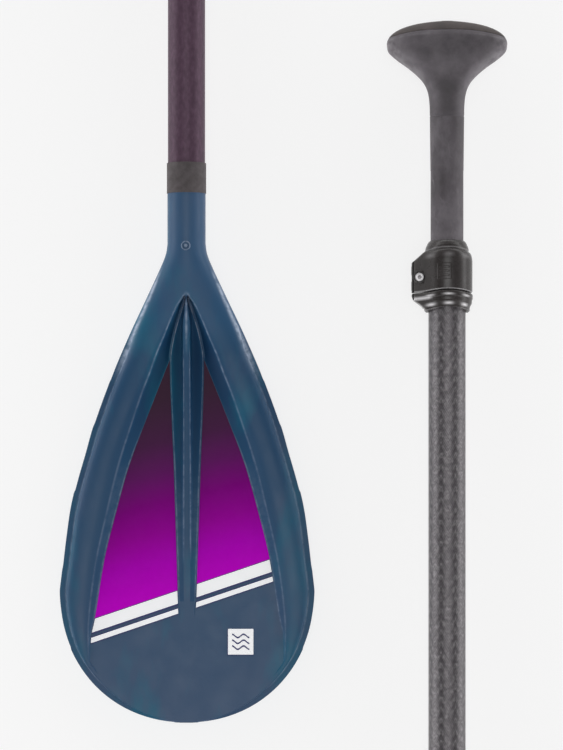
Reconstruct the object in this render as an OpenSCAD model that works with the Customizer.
// Take-apart single blade paddle with an adjustable shaft, laid out as two sections side by side.
// +Y runs along both shafts towards the grip, +X to the right, +Z up from the floor it lies on.
// Local frame: the lower shaft's axis is x = 0, z = 0, and its shoulder, where the sections meet, is y = 0.

/* [Layout] */
// Distance between the two shaft axes as the sections lie
spread = 206.8; // [190:0.1:230]
// Where the grip's top lies along the lower section, behind its shoulder
grip_back = 323.8; // [300:0.1:340]

/* [Blade] */
// Length of the blade from its tip to the lower shaft's shoulder
blade_reach = 880; // [860:1:900]
// Greatest width of the blade
blade_w = 203.8; // [196:0.1:206]
// Distance from the tip to the widest place
blade_wide_at = 104; // [100:1:108]
// How far the blade's middle dips below the shaft's axis
belly = 15; // [12:0.5:16]
// Half thickness of the blade's flat panels
panel_h = 2.6; // [2:0.1:3.5]
// Half thickness of the thin flange
flange_h = 1.9; // [1.6:0.1:2.2]
// Half thickness at the very edge
edge_h = 1.1; // [0.8:0.1:1.5]
// Outside diameter of the blade's neck
neck_d = 30.3; // [30.1:0.1:30.6]

/* [Tubes] */
// Outside diameter of the lower shaft and of the middle tube
tube_od = 29.5; // [29.3:0.1:29.7]
// Inside diameter of the lower shaft and of the middle tube
tube_id = 26.4; // [26.35:0.05:26.5]
// Outside diameter of the sliding upper tube
stem_od = 26; // [25.9:0.05:26.05]
// Inside diameter of the sliding upper tube
stem_id = 23; // [22:0.1:23.4]
// Length of the seam band
band_len = 24; // [20:0.5:28]
// Outside diameter of the seam band
band_od = 31.2; // [31:0.1:32]
// Length of the upper section from the grip's top to the middle tube's end
upper_len = 820; // [800:1:840]

/* [Section joint] */
// Length of spigot that stands out of the lower shaft
spigot_len = 105; // [100:1:110]
// Diameter of the spigot's fitting surface
spigot_d = 25.9; // [25.85:0.01:25.92]
// Diameter of the socket in the end of the middle tube
socket_d = 26; // [25.98:0.01:26.04]
// Depth of the socket
socket_len = 120; // [112:1:124]
// Distance from the shoulder to the lock button
button_at = 20; // [18:0.5:24]
// Diameter of the lock button
button_d = 8; // [7:0.1:8.4]

/* [Clamp] */
// Height of the clamp from its top rim to the skirt's lower rim
clamp_len = 57; // [56:0.5:58]
// Radius of the clamp's barrel
clamp_r = 20.5; // [20.2:0.1:20.8]
// Radius of the clamp's top rim
rim_r = 17.4; // [17.2:0.1:17.6]
// Distance of the bolt from the shaft's axis
bolt_x = 22.5; // [22:0.1:23]
// Distance of the bolt below the top rim
bolt_down = 29; // [28:0.5:30]
// Distance of the lug's end from the shaft's axis
lug_x = 27.5; // [27:0.1:28]

/* [Grip] */
// Width of the palm grip
grip_w = 95.6; // [90:0.1:100]
// Depth of the palm grip, front to back
grip_t = 35; // [32:0.5:38]
// Length of stem that shows between the grip's neck and the clamp
clamp_down = 173.9; // [170:0.1:180]

/* [Hidden] */
$fn = 64;

// ---- general functions ----
function mix(a, b, t) = a + (b - a) * t;
function ease(t) = let (u = max(0, min(1, t))) u * u * (3 - 2 * u);
function slope(k, i) = let (a = max(0, i - 1), b = min(len(k) - 1, i + 1))
    (k[b][1] - k[a][1]) / (k[b][0] - k[a][0]);
// Smooth curve through the knots k = [[x, y], ...], level beyond its two ends
function curve(k, x) = let (
    n = len(k) - 1,
    v = max(k[0][0], min(k[n][0], x)),
    i = max([0, for (j = [0:n - 1]) if (k[j][0] <= v) j]),
    w = k[i + 1][0] - k[i][0],
    t = (v - k[i][0]) / w)
    (1 + 2 * t) * (1 - t) * (1 - t) * k[i][1] + t * (1 - t) * (1 - t) * w * slope(k, i)
    + t * t * (3 - 2 * t) * k[i + 1][1] - t * t * (1 - t) * w * slope(k, i + 1);
// One quarter of a superellipse: 0 at t = 0 rising to 1 at t = 1
function dome(t, power) = pow(1 - pow(1 - max(0, min(1, t)), power), 1 / power);

// ---- blade: d is the distance from the tip, a the distance from the centre line ----
neck_r = neck_d / 2;
blade_len = 380;
apex = 338;
// half width of the outline above the widest place
edge_knots = [[blade_wide_at, blade_w / 2], [170, 93.3], [224, 78.6], [262, 65.5], [300, 49.5],
              [apex, 31.5], [362, 20.3], [372, 16.4], [blade_len, neck_r]];
// inner edge of the side rolls, outer edge of the flat panels, half width of the central rib
inner_knots = [[41, 78], [80, 78.2], [126, 72.7], [161, 65.2], [204, 54.7], [237, 44.1], [262, 35.5],
               [277, 29.6], [290, 24.9], [300, 20.7], [308, 17.2], [317, 13.6], [326, 9.7], [333, 6],
               [apex, 2.4]];
panel_top = 289;
panel_knots = [[41, 77], [63, 76.9], [70, 76.3], [83, 73.5], [129, 66.2], [161, 58.4], [203, 46.7],
               [245, 31], [panel_top, 13.5]];
rib_knots = [[75, 6], [107, 7.4], [200, 10.5], [panel_top, 13.5], [305, 11.2], [315, 8.7], [322, 6.5],
             [330, 4], [336, 1.6], [apex, 0.9]];
// the rib's raised outer lip, and half widths of the ridge's top and foot
lip_h = 1.1;
lip_w = 0.9;
ridge_w = 2.7;
foot_w = 4.3;
// heights of the central ridge and of the rolls above the blade's middle surface
ridge_knots = [[110, panel_h + lip_h], [180, 5.2], [panel_top, 8.6], [apex, 9.5]];
roll_knots = [[30, 2.2], [44, 3.2], [80, 6.3], [140, 8.6], [220, 10], [panel_top, 11.5],
              [apex, 13.4], [blade_len, neck_r]];
// share of the belly's dip along the blade
dip_knots = [[0, 0.12], [60, 0.56], [130, 0.92], [190, 1], [250, 0.86], [310, 0.45],
             [350, 0.14], [blade_len, 0], [400, 0]];
function back_share(d) = mix(0.92, 1, ease((d - 318) / 50));

function half_w(d) = d < blade_wide_at
    ? blade_w / 2 * dome(max(d, 0.3) / blade_wide_at, 2.1) : curve(edge_knots, d);
function flange_w(d) = mix(7, 5, ease((d - 20) / 40)) * (1 - ease((d - 290) / 40));
function crease(d) = let (w = half_w(d)) w - max(0.04 * w, min(flange_w(d), 0.4 * w));
function inner(d) = min(max(curve(inner_knots, d), 0.02 * half_w(d)), crease(d) - 0.05 * half_w(d));
function panel(d) = min(d > panel_top ? curve(rib_knots, d) + 0.8 : curve(panel_knots, d), inner(d) - 0.7);
function rib(d) = min(curve(rib_knots, d), panel(d) - 0.6);
function dip(d) = -belly * curve(dip_knots, d);
// The bevel climbs from the panel to this share of the roll's height, and the roll's crown is at crown_at
function roll_h(d) = max(curve(roll_knots, d), flange_h, panel_h);
function bevel_h(d) = mix(panel_h, roll_h(d), mix(0.62, 0.93, ease((d - 200) / 110)));
function crown_at(d) = mix(0.42, 0.1, ease((d - 200) / 130));
function roll(s, d) = let (c = crown_at(d)) s < c
    ? mix(roll_h(d), bevel_h(d), pow(1 - s / c, 2))
    : flange_h + (roll_h(d) - flange_h) * pow(1 - pow(min(1, (s - c) / (1 - c)), 2.3), 1 / 2.3);
function roof(a, d) = curve(roll_knots, d) * sqrt(max(0, 1 - pow(a / half_w(d), 2)));
// Height from the roll's inner edge outwards. The rolls merge into the round neck above the panels.
function outer_h(a, d) = let (w = half_w(d), c = crease(d), i = inner(d),
    moulded = a <= c ? roll(max(0, a - i) / (c - i), d) : mix(flange_h, edge_h, (a - c) / (w - c)))
    mix(moulded, roof(a, d), ease((d - 300) / 40));
// Height inside the roll's inner edge: bevel, panel, and a rib with lips and a central ridge
function inside_h(a, d) = let (i = inner(d), p = panel(d), r = rib(d),
    lip = lip_h * ease((d - 78) / 30),
    foot = lip * (1 - ease((d - 110) / 120)),
    ridge = max(curve(ridge_knots, d) - panel_h, foot) * ease((d - 78) / 30),
    lip_at = r - min(lip_w, 0.3 * r), top_at = min(ridge_w, 0.35 * r), foot_at = min(foot_w, 0.55 * r))
    a > p ? mix(panel_h, outer_h(i, d), (a - p) / (i - p))
    : panel_h + (a >= r ? 0 : a > lip_at ? lip * (r - a) / (r - lip_at)
        : a > foot_at ? mix(foot, lip, (a - foot_at) / (lip_at - foot_at))
        : a > top_at ? mix(ridge, foot, (a - top_at) / (foot_at - top_at)) : ridge);
// Height of the face above the middle surface
function face_h(a, d) = max(0.3,
    a > inner(d) ? outer_h(a, d) : mix(inside_h(a, d), roof(a, d), ease((d - apex) / 1.4)));
function face_z(x, d) = dip(d) + face_h(abs(x), d);

// Distances from the centre line at which a cross-section has its points, on one side
function stations(d) = let (w = half_w(d), c = crease(d), i = inner(d), p = panel(d), r = rib(d))
    [min(ridge_w, 0.35 * r), min(foot_w, 0.55 * r), r - min(lip_w, 0.3 * r), r, p, i,
     for (s = [0.1, 0.25, 0.45, 0.7, 0.9]) mix(i, c, s), c, w];
function side_rev(v) = [for (k = [len(v) - 1:-1:0]) v[k]];
function columns(d) = let (s = stations(d)) [for (v = side_rev(s)) -v, 0, each s];
function section(d) = let (c = columns(d)) [
    for (x = c) [x, d - blade_reach, face_z(x, d)],
    for (x = side_rev(c)) [x, d - blade_reach, dip(d) - back_share(d) * face_h(abs(x), d)]];
blade_rows = [0, 1, 3, 6, 10, 16, 24, 32, 41, 50, 60, 72, 84, blade_wide_at,
              for (d = [116:13:285]) d, for (d = [panel_top:7:apex]) d, apex + 1.4,
              for (d = [apex + 7:7:blade_len]) d];
blade_rings = [for (d = blade_rows) section(d)];
blade_low = min([for (ring = blade_rings, p = ring) p[2]]);
// Round cross-section of radius r at y, with as many points as the blade's sections
function round_ring(y, r) = [for (p = section(blade_len)) [p[0] * r / neck_r, y, p[2] * r / neck_r]];

// Closed skin over rings that all have the same number of points
module skin(rings) {
    n = len(rings[0]);
    m = len(rings);
    polyhedron(
        points = [for (ring = rings, p = ring) p],
        faces = [
            [for (j = [0:n - 1]) j],
            for (i = [0:m - 2], j = [0:n - 1]) let (a = i * n + j, b = i * n + (j + 1) % n)
                each [[a, a + n, b + n], [a, b + n, b]],
            [for (j = [n - 1:-1:0]) (m - 1) * n + j]],
        convexity = 8);
}

// ---- placement ----
axis_h = -blade_low;
low_x = -blade_w / 2;
high_x = spread + grip_w / 2;
end_y = -grip_back - upper_len;
mid_x = (low_x + high_x) / 2;
mid_y = (end_y + spigot_len) / 2;
clamp_top = -grip_back - clamp_down;

module lower() { translate([-mid_x, -mid_y, axis_h]) children(); }
module upper() { translate([spread - mid_x, -mid_y, axis_h]) children(); }
// Round bar along y, which may taper
module rod(y0, y1, r0, r1) {
    translate([0, y0, 0]) rotate([-90, 0, 0]) cylinder(h = y1 - y0, r1 = r0, r2 = r1);
}
module tube(y0, y1, ro, ri) {
    difference() {
        rod(y0, y1, ro, ro);
        rod(y0 - 1, y1 + 1, ri, ri);
    }
}
// Turned ring about the shaft's axis from an outline of [radius, distance up from y0]
module turned(y0, outline) {
    translate([0, y0, 0]) rotate([-90, 0, 0]) rotate_extrude() polygon(outline);
}

// ---- lower section ----
seam_y = -448;
fit = 0.02;
loose = 0.08;
core_len = 60;
band_seat = 0.2;
band_y = seam_y - band_len / 2;

module blade() {
    core_r = tube_id / 2 - loose;
    color("#3d5f80") lower() skin(concat(blade_rings, [round_ring(seam_y - 0.02, neck_r),
        round_ring(seam_y + 0.01, core_r), round_ring(seam_y + core_len, core_r)]));
}

// Thin film that follows the face between two lines across it. side is -1 or 1, u runs from the
// rib to the panel's edge, and low and high give the film's two ends as functions of x.
film_t = 0.35;
film_sink = 0.2;
stripe_rise = 0.336;
stripe_mid = 106.3;
stripe_h = [[0, 10.2], [14.2, 18.2]];
film_gap = 0.6;
function film_x(side, u, d) = side * mix(rib(d) + film_gap, panel(d) - film_gap, u);
function on_line(side, u, drop, d, steps) = steps == 0 ? d
    : on_line(side, u, drop, stripe_mid - drop + stripe_rise * film_x(side, u, d), steps - 1);
function film_point(side, u, d, lift) = [film_x(side, u, d), d - blade_reach, dip(d) + panel_h + lift];
// The film's lower end runs drop0 below the slanting line, and its upper end is level at top,
// or runs drop1 below the line where top is 0
module film(side, drop0, drop1, top, rows) {
    ends = [for (u = [0, 1]) [on_line(side, u, drop0, stripe_mid, 5),
                              top > 0 ? top : on_line(side, u, drop1, stripe_mid, 5)]];
    rings = [for (j = [0:rows]) let (d = [for (e = ends) mix(e[0], e[1], j / rows)])
        [film_point(side, 0, d[0], film_t), film_point(side, 1, d[1], film_t),
         film_point(side, 1, d[1], -film_sink), film_point(side, 0, d[0], -film_sink)]];
    skin(side > 0 ? rings : side_rev(rings));
}
module panel_film_left() { color("#8a008c") lower() film(-1, 0, 0, 284, 16); }
module panel_film_right() { color("#8a008c") lower() film(1, 0, 0, 284, 16); }
module stripe_films() {
    color("#f2f3f6") lower()
        for (side = [-1, 1], s = stripe_h) film(side, s[1], s[0], 0, 2);
}

badge_w = 20.2;
badge_x = 42.9;
badge_d = 63.5;
module badge() {
    rows = 4;
    x0 = badge_x - badge_w / 2;
    x1 = badge_x + badge_w / 2;
    color("#f4f5f7") lower() skin([for (j = [0:rows])
        let (d = badge_d + badge_w * (j / rows - 0.5), y = d - blade_reach, z = dip(d) + panel_h)
        [[x0, y, z + film_t], [x1, y, z + film_t], [x1, y, z - film_sink], [x0, y, z - film_sink]]]);
}

module seam_band() {
    seat_r = tube_od / 2 - band_seat + fit;
    color("#4d4645") lower() difference() {
        rod(band_y, band_y + band_len, band_od / 2, band_od / 2);
        rod(band_y - 1, seam_y, neck_r + fit, neck_r + fit);
        rod(seam_y - 1, band_y + band_len + 1, seat_r, seat_r);
    }
}

// The shaft is turned down a little under the band
module lower_shaft() {
    color("#563c52") lower() union() {
        tube(seam_y, band_y + band_len + 0.05, tube_od / 2 - band_seat, tube_id / 2);
        tube(band_y + band_len + 0.02, 0, tube_od / 2, tube_id / 2);
    }
}

module shaft_plug() { color("#2f2f33") lower() rod(-150, -125, tube_id / 2 - loose, tube_id / 2 - loose); }

// Spigot glued into the lower shaft, relieved around the button so only its outer length fits the socket
spigot_in = 75;
spigot_id = 22;
relief_len = 38;
relief = 0.2;
spigot_tip = 2;
tip_in = 0.8;
cap_t = 2;
module spigot() {
    end = spigot_len - cap_t;
    r = spigot_d / 2;
    color("#c9ccd0") lower() difference() {
        union() {
            rod(-spigot_in, 0, tube_id / 2 - fit, tube_id / 2 - fit);
            rod(-1, relief_len, r - relief, r - relief);
            rod(relief_len, end - spigot_tip, r, r);
            rod(end - spigot_tip, end, r, r - tip_in);
        }
        rod(-spigot_in - 1, end + 1, spigot_id / 2, spigot_id / 2);
        translate([0, button_at, 0]) cylinder(h = tube_od, r = button_d / 2 + 0.1);
    }
}
module spigot_cap() {
    end = spigot_len - cap_t;
    r = spigot_d / 2 - tip_in;
    color("#26262a") lower() union() {
        rod(end, spigot_len, r, r - tip_in);
        rod(end - 10, end + 0.5, spigot_id / 2 - loose, spigot_id / 2 - loose);
    }
}

// Leaf spring bent into a V: one leg on the spigot's wall, the other under the button's flange
clip_t = 0.8;
clip_w = 6;
clip_back = -30;
flange_z = 8.2;
button_top = 14.5;
module spring_clip() {
    leg_z = -9.7;
    bend_r = 4.2;
    bend_z = leg_z + bend_r;
    lift = atan2(flange_z - clip_t - bend_z - bend_r, button_at + 6 - clip_back);
    path = [[button_at + 4, leg_z],
            for (a = [270:-15:90 + lift]) [clip_back + bend_r * cos(a), bend_z + bend_r * sin(a)],
            [button_at + 6, flange_z - clip_t / 2 - 0.1]];
    n = len(path) - 1;
    outward = [for (k = [0:n]) let (v = path[min(n, k + 1)] - path[max(0, k - 1)]) [-v[1], v[0]] / norm(v)];
    color("#b9bcc0") lower() translate([-clip_w / 2, 0, 0]) rotate([90, 0, 90]) linear_extrude(clip_w)
        polygon([for (k = [0:n]) path[k] + outward[k] * clip_t / 2,
                 for (k = [n:-1:0]) path[k] - outward[k] * clip_t / 2]);
}

module lock_button() {
    dome_h = 1.2;
    r = button_d / 2;
    color("#d5d7da") lower() translate([0, button_at, 0]) union() {
        translate([0, 0, flange_z]) cylinder(h = 1.2, r = r + 1.1);
        translate([0, 0, flange_z]) cylinder(h = button_top - dome_h - flange_z, r = r);
        translate([0, 0, button_top - dome_h]) cylinder(h = dome_h, r1 = r, r2 = r - 1.6);
    }
}

// ---- middle section ----
liner_top = 3;
tube_top = 36;
module middle_tube() {
    color("#57535a") upper() difference() {
        rod(end_y, clamp_top - tube_top, tube_od / 2, tube_od / 2);
        rod(end_y - 1, end_y + socket_len, socket_d / 2, socket_d / 2);
        rod(end_y + socket_len - 0.5, clamp_top, tube_id / 2, tube_id / 2);
        translate([0, end_y + button_at, 0]) cylinder(h = tube_od, r = button_d / 2 + 0.3);
    }
}

// Clamp collar: turned barrel with a wedge-shaped lug tangent to it on the left, split through the lug.
// The lug slopes away more at the front, where a round boss stands up round the bolt's head
groove_down = 40;
rim_down = 8;
shoulder = 17;
slit = 2;
lug_front = 5.4;
lug_back = 11;
head_r = 3.45;
head_h = 2.2;
head_seat = 9.4;
boss_r = 4.95;
plate_z = -10.9;
plate_t = 1;
cam_r = 5;
pivot_z = plate_z - plate_t - cam_r;
nut_r = 2.9;
shank_r = 2;
// Wedge tangent to the barrel on the left, cut to an outline [x, y] seen from the front
function touch(half) = 180 - atan2(half, lug_x) - acos(clamp_r / norm([lug_x, half]));
module lug(side) {
    front = touch(lug_front);
    back = touch(lug_back);
    wedge = [[-lug_x, lug_front], clamp_r * [cos(front), sin(front)],
             clamp_r * [cos(back), -sin(back)], [-lug_x, -lug_back]];
    difference() {
        intersection() {
            rotate([90, 0, 0]) linear_extrude(clamp_len) polygon(wedge);
            translate([0, 0, -40]) linear_extrude(80) polygon(side);
        }
        rod(-clamp_len - 1, 1, tube_od / 2 + 0.85, tube_od / 2 + 0.85);
    }
}
module clamp_collar() {
    rise = clamp_r - rim_r;
    drop = shoulder - rim_down;
    mouth_r = stem_od / 2 + 0.3;
    liner_r = stem_od / 2 + 2.1;
    tube_r = tube_od / 2 + 0.02;
    outline = [[mouth_r, 0], [rim_r - 3, 0], [rim_r - 1.9, -1.6], [rim_r - 0.7, -4.2], [rim_r - 0.1, -6.4],
               for (a = [0:15:90]) [rim_r + rise * sin(a), -rim_down - drop * (1 - cos(a))],
               [clamp_r, -groove_down + 1], [clamp_r - 0.7, -groove_down], [tube_r, -groove_down],
               [tube_r, -tube_top + 1], [liner_r, -tube_top + 1], [liner_r, -liner_top], [mouth_r, -liner_top]];
    side = [[-8, -rim_down], [-18.6, -rim_down], [-lug_x, -16.3], [-lug_x, -groove_down],
            [-8, -groove_down]];
    color("#2b2728") upper() translate([0, clamp_top, 0]) difference() {
        union() {
            turned(0, outline);
            lug(side);
            translate([-bolt_x, -bolt_down, 0]) cylinder(h = head_seat + head_h, r = boss_r);
        }
        translate([-lug_x - 1, -clamp_len, -slit / 2])
            cube([lug_x + 3 - stem_od / 2, clamp_len + 1, slit]);
        translate([-bolt_x, -bolt_down, -40]) cylinder(h = 80, r = shank_r + 0.15);
        translate([-bolt_x, -bolt_down, head_seat]) cylinder(h = 20, r = 4.15);
        translate([-lug_x - 1, -groove_down - 1, -40]) cube([lug_x - 12.5, 24.5, 40 + plate_z]);
    }
}

module skirt_ring() {
    top = -groove_down - 0.3;
    tube_r = tube_od / 2 + 0.02;
    outline = [[tube_r, top], [clamp_r - 0.7, top], [clamp_r, top - 0.9], [clamp_r, -46.5], [19.7, -49],
               [18.5, -51.3], [17.6, -53.8], [16.6, -clamp_len], [tube_r, -clamp_len]];
    side = [[-8, top], [-lug_x, top], [-lug_x, -42.5], [-26.2, -46.2], [-22.3, -49], [-18.8, -53],
            [-8, -53]];
    color("#2b2728") upper() translate([0, clamp_top, 0]) union() {
        turned(0, outline);
        lug(side);
    }
}

module grip_liner() {
    color("#3a3a3d") upper() difference() {
        tube(clamp_top - tube_top + 1, clamp_top - liner_top - 0.2, stem_od / 2 + 2.05, stem_od / 2 + 0.06);
        translate([-20, clamp_top - tube_top, -slit / 2]) cube([20, tube_top, slit]);
    }
}

module tension_bolt() {
    washer = 0.8;
    color("#cfd2d6") upper() translate([-bolt_x, clamp_top - bolt_down, 0]) difference() {
        union() {
            translate([0, 0, pivot_z + 0.6]) cylinder(h = head_seat + washer - pivot_z, r = shank_r);
            translate([0, 0, head_seat + washer]) cylinder(h = head_h, r = head_r);
        }
        translate([0, 0, head_seat + washer + 0.9]) cylinder(h = 3, r = 1.6, $fn = 6);
    }
}
module bolt_washer() {
    color("#a9acb0") upper() translate([-bolt_x, clamp_top - bolt_down, head_seat]) difference() {
        cylinder(h = 0.8, r = 4);
        translate([0, 0, -1]) cylinder(h = 3, r = shank_r + 0.05);
    }
}
lever_w = 20;
module barrel_nut() {
    color("#a9acb0") upper() translate([-bolt_x, clamp_top - bolt_down, pivot_z]) difference() {
        rod(-lever_w / 2 + 0.5, lever_w / 2 - 0.5, nut_r, nut_r);
        cylinder(h = 10, r = shank_r + 0.02);
        translate([0, 0, 0.6]) cylinder(h = 10, r = shank_r + 0.02);
    }
}
module cam_plate() {
    color("#8f9296") upper() translate([-bolt_x, clamp_top - bolt_down, plate_z - plate_t]) difference() {
        translate([-4.5, -lever_w / 2, 0.02]) cube([9, lever_w, plate_t - 0.04]);
        translate([0, 0, -1]) cylinder(h = 4, r = shank_r + 0.15);
    }
}

// Cam lever: cam eye on the barrel nut and an arm that wraps round the back of the barrel
lever_in = 21.2;
module cam_lever() {
    lever_out = axis_h;
    arm_from = 238;
    arm_to = 322;
    root_at = [cos(arm_from + 4), sin(arm_from + 4)];
    arm = [for (a = [arm_from:6:arm_to]) lever_out * [cos(a), sin(a)],
           for (a = [arm_to:-6:arm_from]) lever_in * [cos(a), sin(a)]];
    root = [for (a = [200:20:320]) [-bolt_x, pivot_z] + (cam_r - 0.4) * [cos(a), sin(a)],
            lever_out * root_at, lever_in * root_at,
            for (a = [20:20:100]) [-bolt_x, pivot_z] + (cam_r - 0.4) * [cos(a), sin(a)]];
    color("#232022") upper() translate([0, clamp_top - bolt_down + lever_w / 2, 0]) difference() {
        rotate([90, 0, 0]) linear_extrude(lever_w) union() {
            polygon(arm);
            polygon(root);
            translate([-bolt_x, pivot_z]) circle(r = cam_r - 0.1);
        }
        translate([-bolt_x, -lever_w - 1, pivot_z]) rod(0, lever_w + 2, nut_r + 0.06, nut_r + 0.06);
        translate([-bolt_x - 9, -lever_w / 2 - 2.6, pivot_z - 12]) cube([11.6, 5.2, 24]);
    }
}

// ---- grip section ----
sleeve_top = 76;
sleeve_end = 118;
stem_y = -grip_back - sleeve_top;
stem_end = clamp_top - 505;
bush_len = 26;
module upper_tube() {
    color("#504b4f") upper() tube(stem_end, stem_y, stem_od / 2, stem_id / 2);
}
module stem_sleeve() {
    color("#4a4548") upper() difference() {
        rod(-grip_back - sleeve_end, stem_y - 0.1, stem_od / 2 + 0.14, neck_grip_r);
        rod(-grip_back - sleeve_end - 1, stem_y + 1, stem_od / 2 + 0.02, stem_od / 2 + 0.02);
    }
}
module glide_bush() {
    color("#d9d9d6") upper() union() {
        tube(stem_end - 2, stem_end, tube_id / 2 - loose, stem_id / 2 - 1.2);
        tube(stem_end - 1, stem_end + bush_len, stem_id / 2 - loose, stem_id / 2 - 1.2);
    }
}
module tube_plug() {
    plug_r = stem_id / 2 - loose;
    color("#2f2f33") upper() rod(stem_end + 60, stem_end + 85, plug_r, plug_r);
}

// Palm grip: e is the distance below its top, with rounded sections that thin into the round stem
wide_at = 18;
cap_down = 7;
neck_grip_r = 13.6;
grip_w_knots = [[wide_at, grip_w / 2], [24, 46.4], [30, 39.9], [36.5, 30.9], [43, 23.3], [49, 18.2],
                [56, 15.2], [65, 13.9], [sleeve_top, neck_grip_r]];
grip_t_knots = [[wide_at, grip_t / 2 - 0.8], [28, grip_t / 2], [44, 16.2], [56, 14.6], [65, 13.9],
                [sleeve_top, neck_grip_r]];
function grip_half_w(e) = e < wide_at ? grip_w / 2 * dome(max(e, 0.12) / wide_at, 2.15)
    : curve(grip_w_knots, e);
function grip_half_t(e) = e < wide_at ? (grip_t / 2 - 0.8) * dome((e + 1.2) / (wide_at + 1.2), 2.3)
    : curve(grip_t_knots, e);
function grip_power(e) = mix(0.74, 1, ease((e - 22) / 42));
function grip_ring(e, inset) = [for (k = [0:35]) let (a = k * 10, q = grip_power(e))
    [(grip_half_w(e) - inset) * sign(cos(a)) * pow(abs(cos(a)), q), -grip_back - e,
     (grip_half_t(e) - inset) * sign(sin(a)) * pow(abs(sin(a)), q)]];
module palm_grip() {
    plug_r = stem_id / 2 - loose;
    rows = [cap_down + 0.2, 8.5, 11, 14, wide_at, 21, 24, 27, 30, 33, 36.5, 40, 43, 46, 49, 52.5, 56, 60,
            65, 70];
    color("#4c474b") upper() union() {
        skin([for (e = rows) grip_ring(e, 0), grip_ring(72, 0.3)]);
        rod(-grip_back - sleeve_top, -grip_back - 69, neck_grip_r, neck_grip_r + 0.05);
        rod(-grip_back - sleeve_end, -grip_back - sleeve_top + 1, plug_r, plug_r);
    }
}
module grip_cap() {
    color("#3f3b3f") upper() skin([for (e = [0, 0.5, 1.2, 2.2, 3.4, 4.8, 6.2, cap_down]) grip_ring(e, 0)]);
}

blade();
panel_film_left();
panel_film_right();
stripe_films();
badge();
seam_band();
lower_shaft();
shaft_plug();
spigot();
spigot_cap();
spring_clip();
lock_button();
middle_tube();
clamp_collar();
skirt_ring();
grip_liner();
tension_bolt();
bolt_washer();
barrel_nut();
cam_plate();
cam_lever();
upper_tube();
stem_sleeve();
glide_bush();
tube_plug();
palm_grip();
grip_cap();
